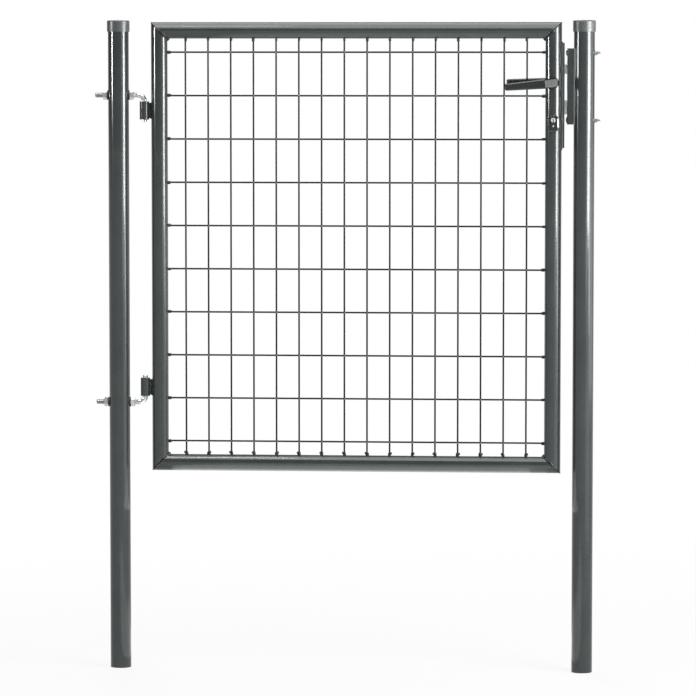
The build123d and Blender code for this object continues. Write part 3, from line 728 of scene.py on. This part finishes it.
def makeCoachBolts():
    low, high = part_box("strike_bolts")
    radius, root, head = coachBolt["radius"], coachBolt["root"], coachBolt["headRadius"]
    height, chamfer, pitch = coachBolt["headHeight"], coachBolt["endChamfer"], coachBolt["pitch"]
    headX = low.x + height
    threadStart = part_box("strike_washers")[0].x - coachBolt["threadBack"]
    threadEnd = high.x - coachBolt["endGap"]
    dome = [(headX - height * sin(step), head * cos(step)) for step in coachBolt["dome"]]
    stations = dome + [
        (headX, head * coachBolt["headRim"]),
        (headX, radius),
        (threadStart, radius),
        (threadStart + coachBolt["runOut"], root),
        (high.x - chamfer, root),
        (high.x, root - chamfer),
    ]
    places = (low.z + head, high.z - head)
    bolts = []
    for z in places:
        bolts.append(turnAlongX("coachBolt", stations, 0, z))
        bolts.append(windThread("coachThread", threadStart, threadEnd, 0, z, root, radius, pitch))
    finishPiece(joinAll("coachBolts", bolts), "posts", "zinc_steel", ("strike_bolts",), finish=coachZinc)
    return places


coachZ = makeCoachBolts()
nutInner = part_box("strike_nuts")[0].x
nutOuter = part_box("strike_nuts")[1].x
makeNutSet(
    "coachNuts",
    [((nutInner + nutOuter) / 2, 0, z) for z in coachZ],
    coachNut["width"],
    nutOuter - nutInner,
    coachNut["bore"],
    "strike_nuts",
    coachZinc,
)
print("nuts and coach bolts modelled")

# Countersunk screws with a cross recess, in the forend and through it into the cylinder
forendScrew = {
    "headRadius": 0.0045,
    "headDepth": 0.0024,
    "headRim": 0.97,
    "rimDepth": 0.0003,
    "shank": 0.0022,
    "core": 0.86,  # shares of the shank
    "tip": 0.55,
    "tipLength": 0.0012,
    "pitch": 0.0008,
    "slot": 0.0011,
    "slotReach": 1.2,
    "slotTip": 0.45,
    "recess": 0.0017,
}


def makeCross(faceX, z):  # tapered cross that cuts the recess
    bars = []
    for turn in (0, pi / 2):
        deselectAll()
        bpy.ops.mesh.primitive_cube_add(size=1, location=(faceX, 0, z), rotation=(turn, 0, 0))
        bar = bpy.context.object
        reach = forendScrew["headRadius"] * forendScrew["slotReach"]
        bar.scale = (forendScrew["recess"] * 2, forendScrew["slot"], reach)
        settle(bar)
        openEdit(bar)
        pickFaces(bar, lambda at, normal: normal.x < -straight)
        tip = forendScrew["slotTip"]
        bpy.ops.transform.resize(value=(1, tip, tip), center_override=(faceX, 0, z))
        closeEdit()
        bars.append(bar)
    return bars


def makeScrew(name, startX, faceX, z):
    head, shank = forendScrew["headRadius"], forendScrew["shank"]
    core = shank * forendScrew["core"]
    tipX, neckX = startX + forendScrew["tipLength"], faceX - forendScrew["headDepth"]
    stations = (
        (startX, shank * forendScrew["tip"]),
        (tipX, core),
        (neckX, core),
        (faceX - forendScrew["rimDepth"], head * forendScrew["headRim"]),
        (faceX, head),
    )
    screw = turnAlongX(name, stations, 0, z)
    for bar in makeCross(faceX, z):
        cutWith(screw, bar, "DIFFERENCE")
    thread = windThread(name + "Thread", tipX, neckX, 0, z, core, shank, forendScrew["pitch"])
    return joinAll(name, [screw, thread])


low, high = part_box("forend_screws")
screwHead = forendScrew["headRadius"]
screwZ = (low.z + screwHead, high.z - screwHead)
forendScrews = [makeScrew("forendScrew", low.x, high.x, z) for z in screwZ]
finishPiece(joinAll("forendScrews", forendScrews), "gate_leaf", "zinc_steel", ("forend_screws",))
low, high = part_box("cylinder_screw")
cylinderScrew = makeScrew("cylinderScrew", low.x, high.x, (low.z + high.z) / 2)
finishPiece(cylinderScrew, "gate_leaf", "zinc_steel", ("cylinder_screw",))
print("screws modelled")

# Guard pins: hardened pins in the cylinder's two faces, below the plugs
guardPin = {
    "radius": 0.002,
    "sides": 20,
    "drop": 0.0134,
    "length": 0.004,
    "proud": 0.0004,
    "dome": ((0.5, 0.92), (0.3, 0.75), (0.2, 0.4)),  # share of proud, growth
}


def makeGuardPins():
    low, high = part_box("cylinder_body")
    plugLow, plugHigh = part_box("front_plug")
    x, z = (plugLow.x + plugHigh.x) / 2, (plugLow.z + plugHigh.z) / 2 - guardPin["drop"]
    pins = []
    for faceY, way in ((low.y, -1), (high.y, 1)):
        deselectAll()
        bpy.ops.mesh.primitive_cylinder_add(
            vertices=guardPin["sides"],
            radius=guardPin["radius"],
            depth=guardPin["length"],
            location=(x, faceY - way * guardPin["length"] / 2, z),
            rotation=(pi / 2, 0, 0),
        )
        pin = bpy.context.object
        settle(pin)
        openEdit(pin)
        pickFaces(pin, lambda at, normal: way * normal.y > straight)
        for share, growth in guardPin["dome"]:
            pushOut((0, way * guardPin["proud"] * share, 0), growth, (x, faceY, z), (1, 0, 1))
        closeEdit()
        pins.append(pin)
    finishPiece(joinAll("guardPins", pins), "gate_leaf", "zinc_steel")


makeGuardPins()
print("guard pins modelled")

# Latch spring: a wound coil filling the latch_spring node
latchSpring = {"wire": 0.0005, "pitch": 0.0042, "sides": 8, "turnSteps": 18}


def makeLatchSpring():
    low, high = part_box("latch_spring")
    wire, sides = latchSpring["wire"], latchSpring["sides"]
    coil = (high.z - low.z) / 2 - wire
    length = high.x - low.x
    turns = (length - 2 * wire) / latchSpring["pitch"]
    deselectAll()
    bpy.ops.mesh.primitive_circle_add(
        vertices=sides, radius=wire, fill_type="NOTHING", rotation=(pi / 2, 0, 0)
    )
    spring = bpy.context.object
    settle(spring)
    openEdit(spring, "SELECT")
    bpy.ops.transform.translate(value=(0, 0, coil))
    closeEdit()
    spring.location = (low.x + wire, 0, (low.z + high.z) / 2)
    steps = round(latchSpring["turnSteps"] * turns)
    windAlongX(spring, sides, length - 2 * wire, steps, angle=2 * pi * turns)
    finishPiece(joinAll("latchSpring", [spring]), "gate_leaf", "lock_steel", ("latch_spring",), "round")
    joints = {joint["name"]: joint for joint in frame["record"]["behaviour"]["joints"]}
    stroke = joints["latch_slide"]["range_m"][1]
    1 - stroke / length
    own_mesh(spring)


makeLatchSpring()
print("latch spring modelled")


# The leaf's wires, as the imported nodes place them
def evenly(first, last, count):
    return [first + (last - first) * step / (count - 1) for step in range(count)]


leafMesh = {"uprights": 16, "crosses": 10, "wire": 0.002, "tube": 0.019}
wireLow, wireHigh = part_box("upright_wires")
crossLow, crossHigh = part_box("cross_wires")
wire = leafMesh["wire"]
uprightX = evenly(wireLow.x + wire, wireHigh.x - wire, leafMesh["uprights"])
crossZ = evenly(crossLow.z + wire, crossHigh.z - wire, leafMesh["crosses"])
uprightY = (wireLow.y + wireHigh.y) / 2
crossY = (crossLow.y + crossHigh.y) / 2

# Wire coat: darker than the tubes, with a pale dot on each crossing that is a painted glint
wireCoat = {
    "tones": (shade(0.008, 0.010, 0.010), shade(0.012, 0.015, 0.0145)),
    "cloud": (30.0, 3.0, 0.6),
    "glint": (0.0011, 0.0024),  # full inside the first distance, gone at the second
    "glintStray": 0.0008,
    "glintShare": 0.5,
    "rough": (0.1, 0.2),
    "gloss": 0.08,
}


def makeWirePaint():
    paint = Finish(bpy.data.materials.new("wirePaint"))
    cloud = paint.noise(*wireCoat["cloud"])
    peel = paint.noise(*coatSet["peel"])
    sideways = paint.along("X") - uprightX[0]
    sideways = sideways.maths("PINGPONG", sideways, (uprightX[1] - uprightX[0]) / 2)
    upward = paint.along("Z") - crossZ[0]
    upward = upward.maths("PINGPONG", upward, (crossZ[1] - crossZ[0]) / 2)
    away = sideways * sideways + upward * upward
    away = away.maths("POWER", away, 0.5) + (peel - 0.5) * wireCoat["glintStray"]
    # painted glint: the pale tone round each crossing, full near it and gone further out
    glint = paint.spread(away, 1, 0, *wireCoat["glint"])
    coat = paint.blend(cloud, *wireCoat["tones"])
    paint.set(
        Base_Color=paint.blend(glint * wireCoat["glintShare"], coat, coatSet["paleTone"]),
        Roughness=paint.spread(cloud, *wireCoat["rough"], *noiseSpan),
        Normal=paint.bump(peel, coatSet["peelDepth"]),
        Specular_IOR_Level=wireCoat["gloss"],
    )
    return paint.owner


wirePaint = makeWirePaint()
for name in ("upright_wires", "cross_wires"):
    nodes[name].data.materials[0] = wirePaint
# Weld coat: the frame's coat at 0.3 of its tone, a darker copy that paints the shade on the rippled
# beads
weldShadePaint = makeFramePaint("weldShadePaint", darken=0.3, gloss=0.25)

# Weld drop: one ripple of a bead, flat side down and narrower towards +X, on a ball of radius 1
weldDrop = {
    "segments": 10,
    "rings": 6,
    "footBelow": -0.2,
    "footSize": (1.1, 1.1, 0.35),
    "tailFrom": 0.35,
    "tailSize": (1.0, 0.82, 0.7),
}
anyTurn = (0, 6)


def makeWeldDrop():
    deselectAll()
    bpy.ops.mesh.primitive_uv_sphere_add(
        segments=weldDrop["segments"], ring_count=weldDrop["rings"], radius=1
    )
    drop = bpy.context.object
    openEdit(drop)
    pickFaces(drop, lambda at, normal: at.z < weldDrop["footBelow"])
    bpy.ops.transform.resize(value=weldDrop["footSize"], center_override=(0, 0, 0))
    pickFaces(drop, lambda at, normal: at.x > weldDrop["tailFrom"])
    bpy.ops.transform.resize(value=weldDrop["tailSize"], center_override=(0, 0, 0))
    closeEdit()
    return drop


def facing(along, out):  # turn that lays X along one way and Z out of the surface
    out = Vector(out).normalized()
    along = Vector(along)
    along = (along - out * along.dot(out)).normalized()
    return Matrix((along, out.cross(along), out)).transposed().to_euler()


# Wire welds: a collar where each wire ends on a tube, and a drop beside each upright's foot
wireWeld = {
    "foot": 0.0036,
    "neck": 0.97,
    "profile": ((0.22, 1.06), (0.5, 1.08), (0.74, 0.92), (0.92, 0.66)),  # shares of height and foot
    "waist": 0.0021,
    "height": 0.0074,
    "bury": 0.0016,
    "sides": 10,
    "uneven": 0.0004,
    "seed": 5,
    "stray": 0.0009,
    "topSize": 0.85,
    "uprightGrow": (0.85, 1.12),
    "uprightTall": (0.8, 1.25),
    "crossGrow": (0.85, 1.1),
    "crossTall": (0.85, 1.25),
    "runOff": (0.0026, -0.001, 0.0052),
    "blob": (0.0031, 0.0029, 0.0026),
}


def makeWireCollar():  # along +Z, foot at the origin
    foot, height, bury = wireWeld["foot"], wireWeld["height"], wireWeld["bury"]
    last, lastZ = foot * wireWeld["neck"], 0.0
    deselectAll()
    bpy.ops.mesh.primitive_cone_add(
        vertices=wireWeld["sides"], radius1=foot, radius2=last, depth=bury, location=(0, 0, -bury / 2)
    )
    collar = bpy.context.object
    settle(collar)
    openEdit(collar)
    pickFaces(collar, lambda at, normal: normal.z > straight)
    for share, radius in wireWeld["profile"] + ((1.0, wireWeld["waist"] / foot),):
        pushOut((0, 0, height * share - lastZ), foot * radius / last, (0, 0, height * share), (1, 1, 0))
        last, lastZ = foot * radius, height * share
    bpy.ops.mesh.select_all(action="SELECT")
    bpy.ops.transform.vertex_random(offset=wireWeld["uneven"], seed=wireWeld["seed"])
    closeEdit()
    return collar


def makeWireWelds():
    collar = makeWireCollar()
    drop = makeWeldDrop()
    stray = wireWeld["stray"]
    offX, offY, offZ = wireWeld["runOff"]
    copies = []
    for x in uprightX:
        for z, tip, size in ((wireLow.z, 0, 1.0), (wireHigh.z, pi, wireWeld["topSize"])):
            grow = size * chance.uniform(*wireWeld["uprightGrow"])
            tall = size * chance.uniform(*wireWeld["uprightTall"])
            place = (x + chance.uniform(-stray, stray), uprightY, z)
            turn = (tip, 0, chance.uniform(*anyTurn))
            copies.append(twinOf(collar, place, turn, (grow, grow, tall)))
        side = chance.choice((-1, 1))  # the bead runs off to one side of the wire's foot
        place = (x + side * offX, uprightY + offY, wireLow.z + offZ)
        copies.append(twinOf(drop, place, (pi / 2, chance.uniform(*anyTurn), 0), wireWeld["blob"]))
    for z in crossZ:
        for x, tip in ((crossLow.x, pi / 2), (crossHigh.x, -pi / 2)):
            grow = chance.uniform(*wireWeld["crossGrow"])
            tall = chance.uniform(*wireWeld["crossTall"])
            place = (x, crossY, z + chance.uniform(-stray, stray))
            copies.append(twinOf(collar, place, (0, tip, 0), (grow, grow, tall)))
    bpy.data.objects.remove(collar)
    bpy.data.objects.remove(drop)
    finishPiece(joinAll("wireWelds", copies), "gate_leaf", "frame_paint", (), "round", weldShadePaint)


# Spot welds where the wires cross
spotWeld = {"size": (0.0026, 0.0017, 0.0026), "grow": (0.9, 1.1)}


def makeSpotWelds():
    drop = makeWeldDrop()
    copies = []
    wide, deep, tall = spotWeld["size"]
    for x in uprightX:
        for z in crossZ:
            grow = chance.uniform(*spotWeld["grow"])
            turn = (0, chance.uniform(*anyTurn), 0)
            copies.append(twinOf(drop, (x, 0, z), turn, (wide * grow, deep, tall * grow)))
    bpy.data.objects.remove(drop)
    finishPiece(joinAll("spotWelds", copies), "gate_leaf", "frame_paint", (), "round", weldShadePaint)


# Mitre beads: ripples round the inner part of each corner's seam, a dressed seam round the outer part
mitreBead = {
    "reach": 84,
    "count": 20,
    "size": (0.0042, 0.0034, 0.0016),
    "swell": 0.35,
    "grow": (0.9, 1.12),
    "lump": (0.007, 0.0062, 0.0052),
    "seamCount": 24,
    "seamSize": (0.0036, 0.0022, 0.0010),
    "seamThin": 0.7,
}


def seamAt(corner, degrees):  # angle, place and turn on the ellipse where two tubes meet
    x, z, inX, inZ = corner
    radius, angle = leafMesh["tube"], radians(degrees)
    place = (x + radius * cos(angle) * inX, radius * sin(angle), z + radius * cos(angle) * inZ)
    along = (-sin(angle) * inX, cos(angle), -sin(angle) * inZ)
    out = (cos(angle) * inX, 2 * sin(angle), cos(angle) * inZ)
    return angle, place, facing(along, out)


def makeMitreBeads():
    drop = makeWeldDrop()
    radius, reach = leafMesh["tube"], mitreBead["reach"]
    low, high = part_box("hinge_stile")
    leftX, rightX = low.x + radius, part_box("lock_stile")[1].x - radius
    bottomZ, topZ = low.z + radius, high.z - radius
    corners = (
        (leftX, topZ, 1, -1),
        (rightX, topZ, -1, -1),
        (leftX, bottomZ, 1, 1),
        (rightX, bottomZ, -1, 1),
    )
    copies = []
    for corner in corners:
        for degrees in evenly(-reach, reach, mitreBead["count"]):
            angle, place, turn = seamAt(corner, degrees)
            grow = (1 + mitreBead["swell"] * cos(angle)) * chance.uniform(*mitreBead["grow"])
            copies.append(twinOf(drop, place, turn, [part * grow for part in mitreBead["size"]]))
        for degrees in evenly(reach, 360 - reach, mitreBead["seamCount"]):
            angle, place, turn = seamAt(corner, degrees)
            size = Vector(mitreBead["seamSize"])
            size.yz *= 1 + mitreBead["seamThin"] * min(cos(angle), 0)  # thinner at the sharp corner
            copies.append(twinOf(drop, place, turn, size))
        x, z, inX, inZ = corner
        place = (x + radius * inX, 0, z + radius * inZ)  # the lump left in the crotch
        copies.append(twinOf(drop, place, facing((0, 1, 0), (inX, 0, inZ)), mitreBead["lump"]))
    bpy.data.objects.remove(drop)
    finishPiece(joinAll("mitreBeads", copies), "gate_leaf", "frame_paint", (), "round", weldShadePaint)


# Beads that hold the hinge tabs and the lock seat to the stiles
tabBead = {
    "size": (0.0034, 0.0026, 0.0017),
    "grow": (0.9, 1.3),
    "step": 0.0036,
    "margin": 0.005,
    "sink": 0.0006,
    "proud": 0.0042,
}
seatTack = {
    "footCount": 5,
    "footSpread": 0.006,
    "footInset": 0.0022,
    "footOut": (0.3, 0, -1),
    "sideShares": (0.08, 0.3, 0.52, 0.74, 0.92),  # heights of the side tacks
    "sideCount": 4,
    "sideInset": 0.0008,
    "sideLean": 0.2,
}


def makeFixingBeads():
    drop = makeWeldDrop()
    size, step = Vector(tabBead["size"]), tabBead["step"]
    copies = []
    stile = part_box("hinge_stile")[0].x
    for name in ("upper_hinge_barrel", "lower_hinge_barrel"):
        low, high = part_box(name)
        z = low.z + tabBead["margin"]
        while z < high.z - tabBead["margin"]:
            for side in (-1, 1):
                place = (stile - tabBead["sink"], side * tabBead["proud"], z)
                turn = facing((0, 0, 1), (-1, side, 0))
                copies.append(twinOf(drop, place, turn, size * chance.uniform(*tabBead["grow"])))
            z += step
    low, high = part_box("lock_seat")
    inset, spread = seatTack["sideInset"], seatTack["footSpread"]
    turn = facing((0, 1, 0), seatTack["footOut"])
    for y in evenly(-spread, spread, seatTack["footCount"]):
        copies.append(twinOf(drop, (low.x + seatTack["footInset"], y, low.z), turn, size))
    for share in seatTack["sideShares"]:
        for side in (-1, 1):
            turn = facing((0, 0, 1), (seatTack["sideLean"], side, 0))
            for index in range(seatTack["sideCount"]):
                fromMiddle = index - (seatTack["sideCount"] - 1) / 2
                z = low.z + (high.z - low.z) * share + fromMiddle * step
                copies.append(twinOf(drop, (low.x + inset, side * (high.y - inset), z), turn, size))
    bpy.data.objects.remove(drop)
    finishPiece(joinAll("fixingBeads", copies), "gate_leaf", "frame_paint", (), "round", weldShadePaint)


makeWireWelds()
makeSpotWelds()
makeMitreBeads()
makeFixingBeads()
print("welds modelled")

# Floor: white to the camera and to reflections, with the shadow kept near the feet
stageSet = {
    "floorSize": 80.0,
    "floorDrop": 0.0005,
    "floorTones": (shade(0.82, 0.82, 0.82), shade(0.8036, 0.8036, 0.8036)),
    "floorSpeck": (3.0,),
    "floorRough": 0.9,
    "floorGloss": 0.1,
    "nearCentre": (0.53, 0, 0),
    "nearShare": 0.86,
    "nearReach": (0.5, 2.6),
    "skyFill": 0.54,
    "roomGlow": 0.15,
    "backdrop": (0.6, 1.0),  # how far a reflection turns to +Y before it sees the white backdrop
}
white = shade(1, 1, 1)


def makeFloor():
    deselectAll()
    bpy.ops.mesh.primitive_plane_add(size=stageSet["floorSize"], location=(0, 0, -stageSet["floorDrop"]))
    floor = bpy.context.object
    floor.name = "floor"
    paint = Finish(bpy.data.materials.new("paleFloor"))
    paint.set(
        Base_Color=paint.blend(paint.noise(*stageSet["floorSpeck"]), *stageSet["floorTones"]),
        Roughness=stageSet["floorRough"],
        Specular_IOR_Level=stageSet["floorGloss"],
    )
    near = paint.away(stageSet["nearCentre"])
    share = paint.spread(near, stageSet["nearShare"], 1.0, *stageSet["nearReach"])
    camera = paint.add("LightPath", out="Is Camera Ray")
    glossy = paint.add("LightPath", out="Is Glossy Ray")
    through = paint.add("LightPath", out="Is Transmission Ray")
    glow = paint.add("Emission", None, {"Color": white, "Strength": 1.0})
    lit = Sock(paint, paint.shader.outputs[0])
    shown = paint.add("MixShader", None, {0: (camera + glossy + through) * share, 1: lit, 2: glow})
    paint.feed(paint.tree.nodes["Material Output"].inputs["Surface"], shown)
    floor.data.materials.append(paint.owner)


def makeSky():  # white to the camera; reflections see a white backdrop behind and a dimmer room in front
    world = bpy.data.worlds.new("studio")
    bpy.context.scene.world = world
    sky = Finish(world, "Generated")
    backFrom, backFull = stageSet["backdrop"]
    room = sky.add(
        "MapRange",
        {"interpolation_type": "SMOOTHSTEP"},
        {
            "Value": sky.along("Y"),
            "From Min": backFrom,
            "From Max": backFull,
            "To Min": stageSet["roomGlow"],
            "To Max": 1.0,
        },
    )
    camera = sky.add("LightPath", out="Is Camera Ray")
    glossy = sky.add("LightPath", out="Is Glossy Ray")
    through = sky.add("LightPath", out="Is Transmission Ray")
    seen = camera.maths("MAXIMUM", camera, through)
    level = seen + (1 - seen) * (glossy * room + (1 - glossy) * stageSet["skyFill"])
    backdrop = sky.tree.nodes["Background"]
    sky.feed(backdrop.inputs["Color"], white)
    sky.feed(backdrop.inputs["Strength"], level)


# Soft light: place, what it looks at, width and height, power
softBoxes = {
    "plainKey": ((3.6, -2.2, 2.8), (0.5, 0, 1.0), (2.2, 2.2), 134.0),
    "backBox": ((-0.8, 4.2, 2.6), (0.5, 0, 1.0), (1.6, 1.6), 85.0),
}

# Reflection cards, set the same way: seen in gloss and metal only, so that colours stay as written
shineCards = {
    "rightKey": ((2.4, -1.0, 1.46), (0.7, 0, 1.46), (0.7, 1.05), 65.0),
    "rightFill": ((3.15, -0.78, 1.2), (0.6, 0, 1.2), (0.9, 1.1), 18.0),
    "rightCard": ((2.6, -2.3, 1.4), (0.6, 0, 1.4), (0.9, 1.4), 11.0),
    "hubCard": ((2.81, -0.77, 1.33), (1.05, -0.05, 1.36), (0.3, 0.18), 4.6),
    "rightLow": ((3.1, -1.3, 0.5), (0.6, 0, 0.5), (2.2, 1.0), 7.6),
    "rightWing": ((3.2, 0.05, 1.25), (0.8, 0, 1.25), (1.9, 1.6), 25.0),
    "leftStrip": ((-2.3, -1.0, 1.52), (0.4, 0, 1.5), (0.36, 0.46), 38.0),
    "topBank": ((0.45, -0.55, 3.0), (0.45, -0.4, 1.0), (1.8, 3.3), 97.0),
    "topStrip": ((-0.35, -0.7, 2.97), (-0.35, -0.6, 1.0), (1.2, 0.24), 10.0),
    "railStrip": ((0.02, -0.2, 1.2), (0.02, -0.19, 0.4), (0.66, 0.07), 3.0),
    "floorBounce": ((0.53, -0.7, 0.02), (0.53, -0.69, 1.0), (0.9, 2.4), 7.4),
    "sillStrip": ((0.53, -0.02, 0.36), (0.53, -0.01, 1.0), (0.84, 0.27), 1.15),
}


def makeSoftBox(name, box, shine):
    place, aim, size, power = box
    lamp = bpy.data.lights.new(name, "AREA")
    lamp.shape = "RECTANGLE"
    lamp.size, lamp.size_y = size
    lamp.energy = power
    light = bpy.data.objects.new(name, lamp)
    bpy.context.scene.collection.objects.link(light)
    light.location = place
    light.rotation_euler = (Vector(aim) - Vector(place)).to_track_quat("-Z", "Y").to_euler()
    light.visible_camera = False
    light.visible_diffuse = not shine
    light.visible_glossy = shine


# Camera: the photograph's view through a long lens
cameraSet = {
    "place": (1.2141, -9.2, 1.4655),
    "turn": 4.243,
    "tilt": -4.4409,
    "lens": 207.03,
    "sensor": 36.0,
    "farClip": 200.0,
}


def makeCamera():
    data = bpy.data.cameras.new("camera")
    data.lens = cameraSet["lens"]
    data.sensor_width = cameraSet["sensor"]
    data.clip_end = cameraSet["farClip"]
    camera = bpy.data.objects.new("camera", data)
    bpy.context.scene.collection.objects.link(camera)
    camera.location = cameraSet["place"]
    camera.rotation_euler = (radians(90 + cameraSet["tilt"]), 0, radians(cameraSet["turn"]))
    bpy.context.scene.camera = camera


makeFloor()
makeSky()
for boxes, shine in ((softBoxes, False), (shineCards, True)):
    for boxName, box in boxes.items():
        makeSoftBox(boxName, box, shine)
makeCamera()
bpy.context.scene.view_settings.view_transform = "Standard"
print("stage, lights and camera set")
